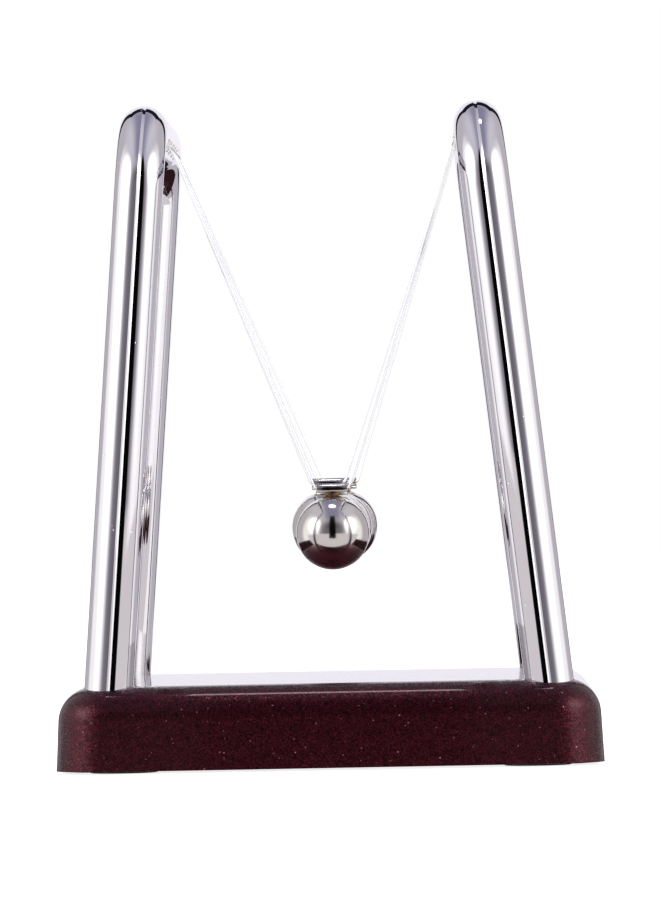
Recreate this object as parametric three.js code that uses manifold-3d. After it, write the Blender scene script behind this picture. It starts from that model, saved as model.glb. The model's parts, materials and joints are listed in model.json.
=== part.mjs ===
// Newton's cradle for a desk: two chrome frames on a moulded base, and five steel balls that
// hang in a row, each from a V of clear line between the two rails.
// Millimetres, +Z up. The origin is the middle of the footprint, on the surface it stands on.
// X runs across the two rails, and Y runs along the row of balls, with the first ball at -Y.

import * as THREE from 'three';
import { mergeVertices } from 'three/addons/utils/BufferGeometryUtils.js';
import Module from 'manifold-3d';

const wasm = await Module();
wasm.setup();

// Driving dimensions
const baseWidth = 70;
const baseLength = 88;
const baseTop = 11.1;
const rimHeight = 0.4; // the shell's lower rim clears the desk by this much
const edgeFillet = 4.3;
const planCorner = 6.3; // corner radius of the base in plan
const sideDraft = THREE.MathUtils.degToRad(2.7);
const wall = 2.0;
const topWall = 2.2;

const tubeDiameter = 6.25; // round section of the chrome frames
const bendRadius = 8;
const legSpacing = 76; // between the two legs of one frame, along Y
const footX = 28.1; // leg centre at the base top
const railZ = 82.3; // centre of both rails
const leanDegrees = { left: 4.5, right: 6.2 }; // the two frames sit a little differently

const ballDiameter = 9.525; // 3/8 inch
const ballCount = 5;
const ballGap = 0.02; // between neighbours at rest
const ballHeight = 30.1; // centre of the first ball
const hangOffsets = [[0.65, 0], [0, 0.7], [0.5, 0.6], [0.8, 0.6], [1.45, 0.75]]; // across, up

const stringTube = { outer: 1.5, inner: 0.8, length: 4.1, lift: 0.12 };
const lineDiameter = 0.3;
const lineEntryDrop = THREE.MathUtils.degToRad(29); // the line hole's fall below level
const gap = 0.3; // clearance between fitted pieces

const linePlug = { diameter: 1.2, length: 2.6, mouth: 0.6, mouthDepth: 0.8, edge: 0.1, lead: 0.2 };
const legSeat = 4.2; // how far a leg reaches below the base top
const screw = { shank: 2.3, head: 4.8, headHeight: 1.1, reach: 8.5, point: 1.2, tip: 0.3 };
const crossSlot = { width: 0.9, depth: 0.6 };
const pilotRoom = 3; // the pilot bore goes this far past the screw's tip
const boss = { diameter: 10.5, floor: 1.5 };
const cover = { thickness: 1.6, bottom: 1.2 };
const clip = { width: 8, thickness: 1.0, height: 4.2, hook: 0.5, hookHeight: 0.9 };
const clipRib = { width: 9, depth: 1.1, height: 0.9 };
const pad = { diameter: 9, height: 1.4, edge: 0.4, insetX: 8.5, insetY: 9.5, recess: 0.5 };

// Values that follow
const ballPitch = ballDiameter + ballGap;
const lineEndRadius = tubeDiameter / 2 + gap; // the line's end, from the rail's centre
const pivotZ = railZ - lineEndRadius * Math.sin(lineEntryDrop);
const coverTop = cover.bottom + cover.thickness;
const seatZ = baseTop - legSeat; // the lower end of a leg
const bossBottom = seatZ - gap - boss.floor;
const screwSeat = bossBottom - baseTop - 1.5 * gap; // under a screw's head, from the base top
const sides = { left: makeSide('left', -1), right: makeSide('right', 1) };
const legs = [[1, 'left', -1], [2, 'left', 1], [3, 'right', -1], [4, 'right', 1]];
const ballY = spaceBalls();

// One frame's lean, the length of its leaning legs, and where the lines meet its rail
function makeSide(name, sign) {
  const lean = THREE.MathUtils.degToRad(leanDegrees[name]);
  const legRun = (railZ - baseTop) / Math.cos(lean);
  const railX = footX - legRun * Math.sin(lean);
  const pivotX = sign * (railX - lineEndRadius * Math.cos(lineEntryDrop));
  return { name, sign, lean, legRun, pivotX };
}

// The balls' places along the row, so that each neighbour is one pitch away in space
function spaceBalls() {
  const places = [0];
  for (let i = 1; i < ballCount; i += 1) {
    const across = hangOffsets[i][0] - hangOffsets[i - 1][0];
    const up = hangOffsets[i][1] - hangOffsets[i - 1][1];
    places.push(places[i - 1] + Math.sqrt(ballPitch ** 2 - across ** 2 - up ** 2));
  }
  return places.map((place) => place - places[ballCount - 1] / 2);
}

// Finishes
function finish(color, roughness, metalness) {
  return new THREE.MeshStandardMaterial({ color, roughness, metalness });
}
const burgundyAbs = finish(0x3a0f17, 0.22, 0.15);
const blackAbs = finish(0x17171a, 0.6, 0);
const chromePlate = finish(0xd9dce0, 0.08, 1);
const ballSteel = finish(0xe2e4e6, 0.05, 1);
const clearNylon = finish(0xeef2f4, 0.2, 0);
const whiteNylon = finish(0xd8dadc, 0.5, 0);
const zincSteel = finish(0x9fa3a8, 0.35, 1);
const blackRubber = finish(0x1d1d1f, 0.9, 0);

// Joining and cutting
function toSolid(geometry) {
  const bare = geometry.clone();
  bare.deleteAttribute('normal');
  bare.deleteAttribute('uv');
  const merged = mergeVertices(bare, 1e-4);
  const vertProperties = new Float32Array(merged.attributes.position.array);
  const triVerts = new Uint32Array(merged.index.array);
  return new wasm.Manifold(new wasm.Mesh({ numProp: 3, vertProperties, triVerts }));
}

function toGeometry(solid) {
  const shape = solid.getMesh();
  const geometry = new THREE.BufferGeometry();
  geometry.setAttribute('position', new THREE.BufferAttribute(shape.vertProperties, 3));
  geometry.setIndex(new THREE.BufferAttribute(shape.triVerts, 1));
  geometry.computeVertexNormals();
  return geometry;
}

function cutAll(geometry, cutters) {
  let solid = toSolid(geometry);
  for (const cutter of cutters) solid = solid.subtract(toSolid(cutter));
  return toGeometry(solid);
}

function joinAll(geometries) {
  let solid = toSolid(geometries[0]);
  for (const other of geometries.slice(1)) solid = solid.add(toSolid(other));
  return toGeometry(solid);
}

// A group that stands at one frame's feet and leans with it: its Z axis runs up the leg
function leaningMatrix({ sign, lean }) {
  const turn = new THREE.Matrix4().makeRotationY(-sign * lean);
  return turn.setPosition(sign * footX, 0, baseTop);
}

// An upright cylinder from one height to another
function post(diameter, bottom, top, facets = 24) {
  const height = top - bottom;
  const geometry = new THREE.CylinderGeometry(diameter / 2, diameter / 2, height, facets);
  geometry.rotateX(Math.PI / 2);
  return geometry.translate(0, 0, (bottom + top) / 2);
}

function block(width, depth, bottom, top) {
  const geometry = new THREE.BoxGeometry(width, depth, top - bottom);
  return geometry.translate(0, 0, (bottom + top) / 2);
}

// A round profile turned about Z; each point is [radius, height], from axis to axis
function turned(points, facets) {
  const profile = points.map(([radius, height]) => new THREE.Vector2(radius, height));
  return new THREE.LatheGeometry(profile, facets).rotateX(Math.PI / 2);
}

function roundedOutline(width, length, radius) {
  const [x, y] = [width / 2, length / 2];
  const outline = new THREE.Shape();
  outline.moveTo(-x + radius, -y);
  outline.lineTo(x - radius, -y);
  outline.absarc(x - radius, -y + radius, radius, -Math.PI / 2, 0);
  outline.lineTo(x, y - radius);
  outline.absarc(x - radius, y - radius, radius, 0, Math.PI / 2);
  outline.lineTo(-x + radius, y);
  outline.absarc(-x + radius, y - radius, radius, Math.PI / 2, Math.PI);
  outline.lineTo(-x, -y + radius);
  outline.absarc(-x + radius, -y + radius, radius, Math.PI, Math.PI * 1.5);
  return outline;
}

function plate(width, length, radius, bottom, top, curveSegments = 4) {
  const outline = roundedOutline(width, length, radius);
  const options = { depth: top - bottom, bevelEnabled: false, curveSegments };
  return new THREE.ExtrudeGeometry(outline, options).translate(0, 0, bottom);
}

// A block with drafted sides and a round upper edge; width and length are those at the rim
function mouldedBlock(width, length, corner, fillet, bottom, top, curveSegments) {
  const outline = roundedOutline(width - 2 * fillet, length - 2 * fillet, corner - fillet);
  const options = {
    depth: top - bottom,
    bevelThickness: fillet,
    bevelSize: fillet,
    bevelSegments: 5,
    curveSegments,
  };
  const geometry = new THREE.ExtrudeGeometry(outline, options);
  geometry.translate(0, 0, bottom - fillet);
  const position = geometry.attributes.position;
  for (let i = 0; i < position.count; i += 1) {
    const inset = (position.getZ(i) - bottom) * Math.tan(sideDraft);
    position.setX(i, position.getX(i) * (1 - (2 * inset) / width));
    position.setY(i, position.getY(i) * (1 - (2 * inset) / length));
  }
  return geometry;
}

// What a leg and its screw need: a seat from above, and a clearance hole through the boss floor
function legBores(side, end) {
  const seat = post(tubeDiameter + 2 * gap, -legSeat - gap, 3, 20);
  const hole = post(screw.shank + 2 * gap, -baseTop, 0, 12);
  const bores = [seat, hole];
  for (const bore of bores) {
    bore.translate(0, (end * legSpacing) / 2, 0);
    bore.applyMatrix4(leaningMatrix(side));
  }
  return bores;
}

function clipPlaces() {
  const across = baseWidth / 2 - wall;
  const along = baseLength / 2 - wall;
  return [
    { x: across, y: 0, turn: 0 },
    { x: 0, y: along, turn: Math.PI / 2 },
    { x: -across, y: 0, turn: Math.PI },
    { x: 0, y: -along, turn: -Math.PI / 2 },
  ];
}

// The hollow upper moulding: outer skin, cavity, a boss under each leg and a rib for each clip
function makeBaseShell() {
  const outer = mouldedBlock(baseWidth, baseLength, planCorner, edgeFillet, rimHeight, baseTop, 5);
  const below = block(2 * baseWidth, 2 * baseLength, -baseTop, rimHeight);
  const cavity = mouldedBlock(
    baseWidth - 2 * wall,
    baseLength - 2 * wall,
    planCorner - wall,
    edgeFillet - wall,
    rimHeight,
    baseTop - topWall,
    3,
  );
  let shell = toSolid(outer).subtract(toSolid(cavity)).subtract(toSolid(below));
  for (const [, sideName, end] of legs) {
    const { sign, lean } = sides[sideName];
    const x = sign * (footX + legSeat * Math.sin(lean));
    const socket = post(boss.diameter, bossBottom, baseTop - topWall / 2);
    const reachIn = socket.translate(x, (end * legSpacing) / 2, 0);
    shell = shell.add(toSolid(reachIn).intersect(toSolid(outer)));
  }
  for (const { x, y, turn } of clipPlaces()) {
    const bottom = coverTop + clip.height - clip.hookHeight - gap - clipRib.height;
    const rib = block(clipRib.depth * 2, clipRib.width, bottom, bottom + clipRib.height);
    rib.rotateZ(turn).translate(x, y, 0);
    shell = shell.add(toSolid(rib).intersect(toSolid(outer)));
  }
  for (const [, sideName, end] of legs) {
    for (const bore of legBores(sides[sideName], end)) shell = shell.subtract(toSolid(bore));
  }
  return toGeometry(shell);
}

function padCentres() {
  const x = baseWidth / 2 - pad.insetX;
  const y = baseLength / 2 - pad.insetY;
  return [[-x, -y], [x, -y], [-x, y], [x, y]];
}

// One clip of the cover: a thin upright tongue with a hook that faces outward
function makeClip(x, y, turn) {
  const inset = clipRib.depth + gap + clip.thickness / 2;
  const tongue = block(clip.thickness, clip.width, coverTop - 0.5, coverTop + clip.height);
  const hookBottom = coverTop + clip.height - clip.hookHeight;
  const hook = block(clip.thickness, clip.width, hookBottom, coverTop + clip.height);
  hook.translate(clip.hook, 0, 0);
  const whole = joinAll([tongue, hook]);
  return whole.translate(-inset, 0, 0).rotateZ(turn).translate(x, y, 0);
}

function makeBottomCover() {
  const inset = 2 * (wall + gap);
  const corner = planCorner - wall - gap;
  const sheet = plate(baseWidth - inset, baseLength - inset, corner, cover.bottom, coverTop);
  const clips = clipPlaces().map(({ x, y, turn }) => makeClip(x, y, turn));
  const recesses = padCentres().map(([x, y]) => {
    const recess = post(pad.diameter + 2 * gap, 0, cover.bottom + pad.recess, 24);
    return recess.translate(x, y, 0);
  });
  return cutAll(joinAll([sheet, ...clips]), recesses);
}

// A disc with a slightly rounded lower edge
function makePad() {
  const radius = pad.diameter / 2;
  const { edge, height } = pad;
  const profile = [[0, 0], [radius - edge, 0], [radius, edge], [radius, height], [0, height]];
  return turned(profile, 24);
}

// A pan-head screw with a cross slot; its Z axis is the leg's, and the head is below
function makeLegScrew() {
  const headBottom = screwSeat - screw.headHeight;
  const tip = screwSeat + screw.reach;
  const [shank, head] = [screw.shank / 2, screw.head / 2];
  const profile = [
    [0, headBottom],
    [head * 0.7, headBottom],
    [head, headBottom + screw.headHeight / 2],
    [head, screwSeat],
    [shank, screwSeat],
    [shank, tip - screw.point],
    [screw.tip, tip],
    [0, tip],
  ];
  const slots = [0, Math.PI / 2].map((turn) => {
    const slot = block(head, crossSlot.width, headBottom - 1, headBottom + crossSlot.depth);
    return slot.rotateZ(turn);
  });
  return cutAll(turned(profile, 16), slots);
}

// The centre line of one frame in its own plane: up a leg, over the rail and down again
function framePath(legRun) {
  const y = legSpacing / 2;
  const corner = legRun - bendRadius;
  const path = new THREE.CurvePath();
  path.add(new THREE.LineCurve3(new THREE.Vector3(0, -y, -legSeat), new THREE.Vector3(0, -y, corner)));
  path.add(bend(-y + bendRadius, corner, Math.PI, Math.PI / 2));
  path.add(new THREE.LineCurve3(
    new THREE.Vector3(0, -y + bendRadius, legRun),
    new THREE.Vector3(0, y - bendRadius, legRun),
  ));
  path.add(bend(y - bendRadius, corner, Math.PI / 2, 0));
  path.add(new THREE.LineCurve3(new THREE.Vector3(0, y, corner), new THREE.Vector3(0, y, -legSeat)));
  return path;
}

class Bend extends THREE.Curve {
  constructor(y, z, from, to) {
    super();
    Object.assign(this, { y, z, from, to });
  }

  getPoint(t, target = new THREE.Vector3()) {
    const angle = this.from + (this.to - this.from) * t;
    const y = this.y + bendRadius * Math.cos(angle);
    return target.set(0, y, this.z + bendRadius * Math.sin(angle));
  }
}

function bend(y, z, from, to) {
  return new Bend(y, z, from, to);
}

// Turns an upright tool to the line hole's direction, with its mouth at the rail's surface
function toLineHole(geometry, { sign, lean, legRun }, y) {
  const drop = lineEntryDrop - lean;
  geometry.rotateY(-sign * (Math.PI / 2 + drop));
  return geometry.translate(0, y, legRun);
}

// One chrome frame with a screw hole in each leg and a row of line holes along the rail
function makeFrame(side) {
  const section = new THREE.Shape();
  section.absarc(0, 0, tubeDiameter / 2, 0, Math.PI * 2);
  const extrudePath = framePath(side.legRun);
  const tube = new THREE.ExtrudeGeometry(section, { steps: 76, curveSegments: 9, extrudePath });
  const cutters = [];
  for (const end of [-1, 1]) {
    const pilotTop = screwSeat + screw.reach + pilotRoom;
    const pilot = post(screw.shank + 2 * gap, -legSeat - 1, pilotTop, 12);
    cutters.push(pilot.translate(0, (end * legSpacing) / 2, 0));
  }
  const bottom = tubeDiameter / 2 - linePlug.length - gap;
  for (let i = 0; i < ballCount; i += 1) {
    const hole = post(linePlug.diameter + 2 * gap, bottom, tubeDiameter, 10);
    cutters.push(toLineHole(hole, side, ballY[i]));
  }
  return cutAll(tube, cutters);
}

// A small plug with a blind mouth that the line's end goes into
function makeLinePlug(side, y) {
  const [radius, mouth] = [linePlug.diameter / 2, linePlug.mouth / 2];
  const outer = tubeDiameter / 2;
  const inner = outer - linePlug.length;
  const profile = [
    [0, inner],
    [radius - linePlug.lead, inner],
    [radius, inner + linePlug.lead],
    [radius, outer - linePlug.edge],
    [radius - linePlug.edge, outer],
    [mouth, outer],
    [mouth, outer - linePlug.mouthDepth],
    [0, outer - linePlug.mouthDepth],
  ];
  return toLineHole(turned(profile, 10), side, y);
}

function ballCentre(index) {
  const [across, up] = hangOffsets[index];
  return new THREE.Vector3(across, ballY[index], ballHeight + up);
}

function makeBall() {
  return new THREE.SphereGeometry(ballDiameter / 2, 24, 14).rotateX(Math.PI / 2);
}

function stringTubeRise() {
  return ballDiameter / 2 + stringTube.lift + stringTube.outer / 2;
}

// The small open tube across the top of a ball
function makeStringTube() {
  const { outer, inner, length } = stringTube;
  const [r, bore, half] = [outer / 2, inner / 2, length / 2];
  const ring = [[bore, -half], [r, -half], [r, half], [bore, half], [bore, -half]];
  return turned(ring, 16).rotateY(Math.PI / 2);
}

// A straight round rod between two points
function rod(from, to, diameter, facets = 8) {
  const along = new THREE.Vector3().subVectors(to, from);
  const half = along.length() / 2;
  const geometry = post(diameter, -half, half, facets);
  const turn = new THREE.Quaternion();
  turn.setFromUnitVectors(new THREE.Vector3(0, 0, 1), along.normalize());
  geometry.applyQuaternion(turn);
  const middle = new THREE.Vector3().addVectors(from, to).multiplyScalar(0.5);
  return geometry.translate(middle.x, middle.y, middle.z);
}

function knuckle(at) {
  const geometry = new THREE.SphereGeometry(lineDiameter / 2, 8, 6);
  return geometry.translate(at.x, at.y, at.z);
}

// The V of line for one ball: down from one rail, through the string tube and up to the other
function makeLine(index) {
  const centre = ballCentre(index);
  const turnX = stringTube.length / 2 + gap + lineDiameter / 2;
  const z = centre.z + stringTubeRise();
  const points = [
    new THREE.Vector3(sides.left.pivotX, centre.y, pivotZ),
    new THREE.Vector3(centre.x - turnX, centre.y, z),
    new THREE.Vector3(centre.x + turnX, centre.y, z),
    new THREE.Vector3(sides.right.pivotX, centre.y, pivotZ),
  ];
  const rods = [0, 1, 2].map((i) => rod(points[i], points[i + 1], lineDiameter));
  return joinAll([...rods, knuckle(points[1]), knuckle(points[2])]);
}

// Assembly
const cradle = new THREE.Group();

function add(parent, name, geometry, material) {
  const mesh = new THREE.Mesh(geometry, material);
  mesh.name = name;
  parent.add(mesh);
  return mesh;
}

function addBase() {
  add(cradle, 'base_shell', makeBaseShell(), burgundyAbs);
  add(cradle, 'bottom_cover', makeBottomCover(), blackAbs);
  padCentres().forEach(([x, y], index) => {
    add(cradle, `foot_pad_${index + 1}`, makePad(), blackRubber).position.set(x, y, 0);
  });
}

function addFrame(sideName) {
  const side = sides[sideName];
  const group = new THREE.Group();
  group.applyMatrix4(leaningMatrix(side));
  add(group, `${sideName}_frame`, makeFrame(side), chromePlate);
  for (const [number, name, end] of legs) {
    if (name !== sideName) continue;
    const mesh = add(group, `leg_screw_${number}`, makeLegScrew(), zincSteel);
    mesh.position.set(0, (end * legSpacing) / 2, 0);
  }
  for (let i = 0; i < ballCount; i += 1) {
    add(group, `${sideName}_line_plug_${i + 1}`, makeLinePlug(side, ballY[i]), whiteNylon);
  }
  cradle.add(group);
}

function addPendulum(index) {
  const number = index + 1;
  const centre = ballCentre(index);
  add(cradle, `ball_${number}`, makeBall(), ballSteel).position.copy(centre);
  const tube = add(cradle, `string_tube_${number}`, makeStringTube(), chromePlate);
  tube.position.set(centre.x, centre.y, centre.z + stringTubeRise());
  add(cradle, `line_${number}`, makeLine(index), clearNylon);
}

addBase();
addFrame('left');
addFrame('right');
for (let index = 0; index < ballCount; index += 1) addPendulum(index);

export default cradle;
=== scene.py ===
import json
import math

import bmesh
import bpy
from mathutils import Matrix, Quaternion, Vector


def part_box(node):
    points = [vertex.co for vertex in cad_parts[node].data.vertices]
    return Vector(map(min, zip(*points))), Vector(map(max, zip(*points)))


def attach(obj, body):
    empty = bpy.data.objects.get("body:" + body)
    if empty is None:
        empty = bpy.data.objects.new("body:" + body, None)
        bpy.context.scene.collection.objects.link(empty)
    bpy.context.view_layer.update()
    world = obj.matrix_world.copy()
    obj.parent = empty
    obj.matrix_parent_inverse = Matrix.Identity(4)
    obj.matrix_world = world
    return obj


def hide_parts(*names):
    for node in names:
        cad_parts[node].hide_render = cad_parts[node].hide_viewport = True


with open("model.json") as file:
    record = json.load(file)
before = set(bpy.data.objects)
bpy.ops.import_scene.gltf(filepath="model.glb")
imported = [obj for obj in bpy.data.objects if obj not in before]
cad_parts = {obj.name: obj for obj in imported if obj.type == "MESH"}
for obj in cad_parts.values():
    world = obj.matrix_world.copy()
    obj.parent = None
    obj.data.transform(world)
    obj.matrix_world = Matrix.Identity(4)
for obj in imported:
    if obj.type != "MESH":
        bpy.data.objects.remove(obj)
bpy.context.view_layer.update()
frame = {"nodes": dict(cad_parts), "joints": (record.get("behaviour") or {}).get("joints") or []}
mm = 0.001  # every dictionary below is in millimetres and degrees
flatFace = 0.999  # a face whose normal has more than this along Z lies flat
hair = 1e-6  # metres, a distance that counts as none
quarter = math.radians(90)
print("frame loaded")


# Small helpers for working by hand

def deselectAll():
    if bpy.context.mode != "OBJECT":
        bpy.ops.object.mode_set(mode="OBJECT")
    bpy.ops.object.select_all(action="DESELECT")


def startEdit():
    bpy.ops.object.mode_set(mode="EDIT")
    bpy.ops.mesh.select_mode(type="VERT")


def endEdit():
    bpy.ops.object.mode_set(mode="OBJECT")


# Selects the faces, edges or vertices for which the test is true
def pick(kind, test):
    bpy.ops.mesh.select_mode(type=kind)
    bpy.ops.mesh.select_all(action="DESELECT")
    mesh = bpy.context.edit_object.data
    work = bmesh.from_edit_mesh(mesh)
    parts = {"VERT": work.verts, "EDGE": work.edges, "FACE": work.faces}[kind]
    for part in parts:
        if test(part):
            part.select_set(True)
    work.select_flush_mode()
    bmesh.update_edit_mesh(mesh)


def extrude(x, y, z):
    bpy.ops.mesh.extrude_region_move(TRANSFORM_OT_translate={"value": (x, y, z)})


def cleanMesh():
    bpy.ops.mesh.select_all(action="SELECT")
    bpy.ops.mesh.remove_doubles(threshold=hair)
    bpy.ops.mesh.normals_make_consistent(inside=False)


def addModifier(piece, kind, **settings):
    bpy.context.view_layer.objects.active = piece
    modifier = piece.modifiers.new(kind.title(), kind)
    for name, value in settings.items():
        setattr(modifier, name, value)
    bpy.ops.object.modifier_apply(modifier=modifier.name)


def placeMesh(piece, matrix=None):
    deselectAll()
    piece.select_set(True)
    bpy.context.view_layer.objects.active = piece
    if matrix is not None:
        piece.matrix_world = matrix @ piece.matrix_world
    bpy.ops.object.transform_apply(location=True, rotation=True, scale=True)


def smoothPiece(piece, angle):
    deselectAll()
    piece.select_set(True)
    bpy.context.view_layer.objects.active = piece
    bpy.ops.object.shade_smooth_by_angle(angle=math.radians(angle))


def copyPiece(piece, offset):
    other = piece.copy()
    other.data = piece.data.copy()
    bpy.context.scene.collection.objects.link(other)
    other.location = offset
    placeMesh(other)
    return other


def cutWith(piece, cutter):
    addModifier(piece, "BOOLEAN", operation="DIFFERENCE", solver="EXACT", object=cutter)
    bpy.data.objects.remove(cutter)


# Names a finished piece, gives it its finish and lets it ride on its body. With no material given,
# it keeps those that it already has
def finishPiece(piece, name, body, slot, material, *nodes):
    piece.name = name
    piece.data.name = name
    if material:
        piece.data.materials.clear()
        piece.data.materials.append(material)
    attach(piece, body)
    if nodes:
        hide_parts(*nodes)


def boxCentre(node):
    low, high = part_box(node)
    return (Vector(low) + Vector(high)) / 2


# Materials

# The linear colour that a shader needs, from an sRGB hex code
def hexColour(code):
    parts = [int(code[i:i + 2], 16) / 255 for i in (1, 3, 5)]
    linear = [c / 12.92 if c <= 0.04045 else ((c + 0.055) / 1.055) ** 2.4 for c in parts]
    return (*linear, 1.0)


def addNode(tree, kind, inputs=None, **settings):
    node = tree.nodes.new(kind)
    for name, value in settings.items():
        setattr(node, name, value)
    for socket, value in (inputs or {}).items():
        if isinstance(value, bpy.types.NodeSocket):
            tree.links.new(value, node.inputs[socket])
        else:
            node.inputs[socket].default_value = value
    return node


def startMaterial(name):
    material = bpy.data.materials.new(name)
    material.use_nodes = True
    material.node_tree.nodes.clear()
    place = addNode(material.node_tree, "ShaderNodeTexCoord").outputs["Object"]
    return material, material.node_tree, place


def endMaterial(tree, shader):
    addNode(tree, "ShaderNodeOutputMaterial", {"Surface": shader.outputs[0]})


# How many pattern cells go into a metre, from the size of one in millimetres
def cellScale(size):
    return 1 / (size * mm)


noiseSpan = {"From Min": 0.3, "From Max": 0.7}  # nearly all of a noise texture's values


# Injection-moulded ABS in burgundy with aluminium flake under a gloss surface: a deep wine body
# that glows where light falls into it, single bright flecks, and a sharp pale reflection on top
def makeFlakeAbs():
    flake = {"size": 0.14, "dark": "#12060a", "light": "#5c1c2b", "bright": "#c98c90", "share": 0.004,
             "tilt": 0.3, "ripple": 9.0, "rippleDepth": 0.006}
    material, tree, place = startMaterial("metalFlakeAbs")
    # Real flakes are about 0.05 mm, and are drawn coarser so that they show
    cells = addNode(tree, "ShaderNodeTexVoronoi", {"Vector": place, "Scale": cellScale(flake["size"])})
    lot = addNode(tree, "ShaderNodeSeparateColor", {"Color": cells.outputs["Color"]})
    body = addNode(tree, "ShaderNodeMix", {
        0: lot.outputs["Green"], 6: hexColour(flake["dark"]), 7: hexColour(flake["light"]),
    }, data_type="RGBA")
    fleck = addNode(tree, "ShaderNodeMapRange",
                    {"Value": lot.outputs["Red"], "From Min": 1 - flake["share"]})
    colour = addNode(tree, "ShaderNodeMix", {
        0: fleck.outputs[0], 6: body.outputs[2], 7: hexColour(flake["bright"]),
    }, data_type="RGBA")
    # Each flake leans its own way
    centred = addNode(tree, "ShaderNodeVectorMath",
                      {0: cells.outputs["Color"], 1: (0.5, 0.5, 0.5)}, operation="SUBTRACT")
    lean = addNode(tree, "ShaderNodeVectorMath",
                   {0: centred.outputs[0], 3: flake["tilt"]}, operation="SCALE")
    face = addNode(tree, "ShaderNodeNewGeometry").outputs["Normal"]
    tilted = addNode(tree, "ShaderNodeVectorMath", {0: face, 1: lean.outputs[0]})
    normal = addNode(tree, "ShaderNodeVectorMath", {0: tilted.outputs[0]}, operation="NORMALIZE")
    wave = addNode(tree, "ShaderNodeTexNoise",
                   {"Vector": place, "Scale": cellScale(flake["ripple"]), "Detail": 1.0})
    ripple = addNode(tree, "ShaderNodeBump",
                     {"Height": wave.outputs[0], "Distance": flake["rippleDepth"] * mm, "Strength": 1.0})
    shader = addNode(tree, "ShaderNodeBsdfPrincipled", {
        "Base Color": colour.outputs[2], "Metallic": 0.9, "Roughness": 0.36,
        "Normal": normal.outputs[0], "Coat Weight": 1.0, "Coat Roughness": 0.05, "Coat IOR": 1.22,
        "Coat Normal": ripple.outputs[0],
    })
    endMaterial(tree, shader)
    return material


# Bright chromium plating over moulded plastic: a cool mirror with a slight swim in it from the
# moulding, and rare pinholes
def makeChromePlate():
    plating = {"swim": 7.0, "swimDepth": 0.0015, "haze": 1.6, "rough": (0.03, 0.06),
               "pinhole": 2.4, "pinholeRim": (0.02, 0.05), "pinholeDepth": 0.02}
    material, tree, place = startMaterial("chromePlatedPlastic")
    wave = addNode(tree, "ShaderNodeTexNoise",
                   {"Vector": place, "Scale": cellScale(plating["swim"]), "Detail": 1.0})
    swim = addNode(tree, "ShaderNodeBump",
                   {"Height": wave.outputs[0], "Distance": plating["swimDepth"] * mm, "Strength": 1.0})
    spots = addNode(tree, "ShaderNodeTexVoronoi",
                    {"Vector": place, "Scale": cellScale(plating["pinhole"])})
    centre, rim = plating["pinholeRim"]
    pit = addNode(tree, "ShaderNodeMapRange",
                  {"Value": spots.outputs["Distance"], "From Min": centre, "From Max": rim})
    surface = addNode(tree, "ShaderNodeBump", {
        "Height": pit.outputs[0], "Distance": plating["pinholeDepth"] * mm, "Normal": swim.outputs[0],
    })
    haze = addNode(tree, "ShaderNodeTexNoise",
                   {"Vector": place, "Scale": cellScale(plating["haze"]), "Detail": 3.0})
    clear, dull = plating["rough"]
    rough = addNode(tree, "ShaderNodeMapRange",
                    {**noiseSpan, "Value": haze.outputs[0], "To Min": clear, "To Max": dull})
    cast = addNode(tree, "ShaderNodeTexNoise",
                   {"Vector": place, "Scale": cellScale(plating["swim"]), "Detail": 3.0})
    colour = addNode(tree, "ShaderNodeMix", {
        0: cast.outputs[0], 6: hexColour("#e2e1e8"), 7: hexColour("#eceaf0"),
    }, data_type="RGBA")
    shader = addNode(tree, "ShaderNodeBsdfPrincipled", {
        "Base Color": colour.outputs[2], "Metallic": 1.0, "Roughness": rough.outputs[0],
        "Normal": surface.outputs[0],
    })
    endMaterial(tree, shader)
    return material


# Through-hardened chrome steel, lapped: darker and warmer than plating, with very fine handling
# marks that only soften the edges of what it reflects
def makeBallSteel():
    lapped = {"mark": 0.5, "markDepth": 0.0006, "cloud": 2.2, "rough": (0.09, 0.14)}
    material, tree, place = startMaterial("lappedBearingSteel")
    mark = addNode(tree, "ShaderNodeTexNoise",
                   {"Vector": place, "Scale": cellScale(lapped["mark"]), "Detail": 4.0})
    marks = addNode(tree, "ShaderNodeBump",
                    {"Height": mark.outputs[0], "Distance": lapped["markDepth"] * mm, "Strength": 1.0})
    cloud = addNode(tree, "ShaderNodeTexNoise",
                    {"Vector": place, "Scale": cellScale(lapped["cloud"]), "Detail": 3.0})
    clear, dull = lapped["rough"]
    rough = addNode(tree, "ShaderNodeMapRange",
                    {**noiseSpan, "Value": cloud.outputs[0], "To Min": clear, "To Max": dull})
    colour = addNode(tree, "ShaderNodeMix", {
        0: cloud.outputs[0], 6: hexColour("#dcd9d6"), 7: hexColour("#e6e3e1"),
    }, data_type="RGBA")
    shader = addNode(tree, "ShaderNodeBsdfPrincipled", {
        "Base Color": colour.outputs[2], "Metallic": 1.0, "Roughness": rough.outputs[0],
        "Normal": marks.outputs[0],
    })
    endMaterial(tree, shader)
    return material


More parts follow.
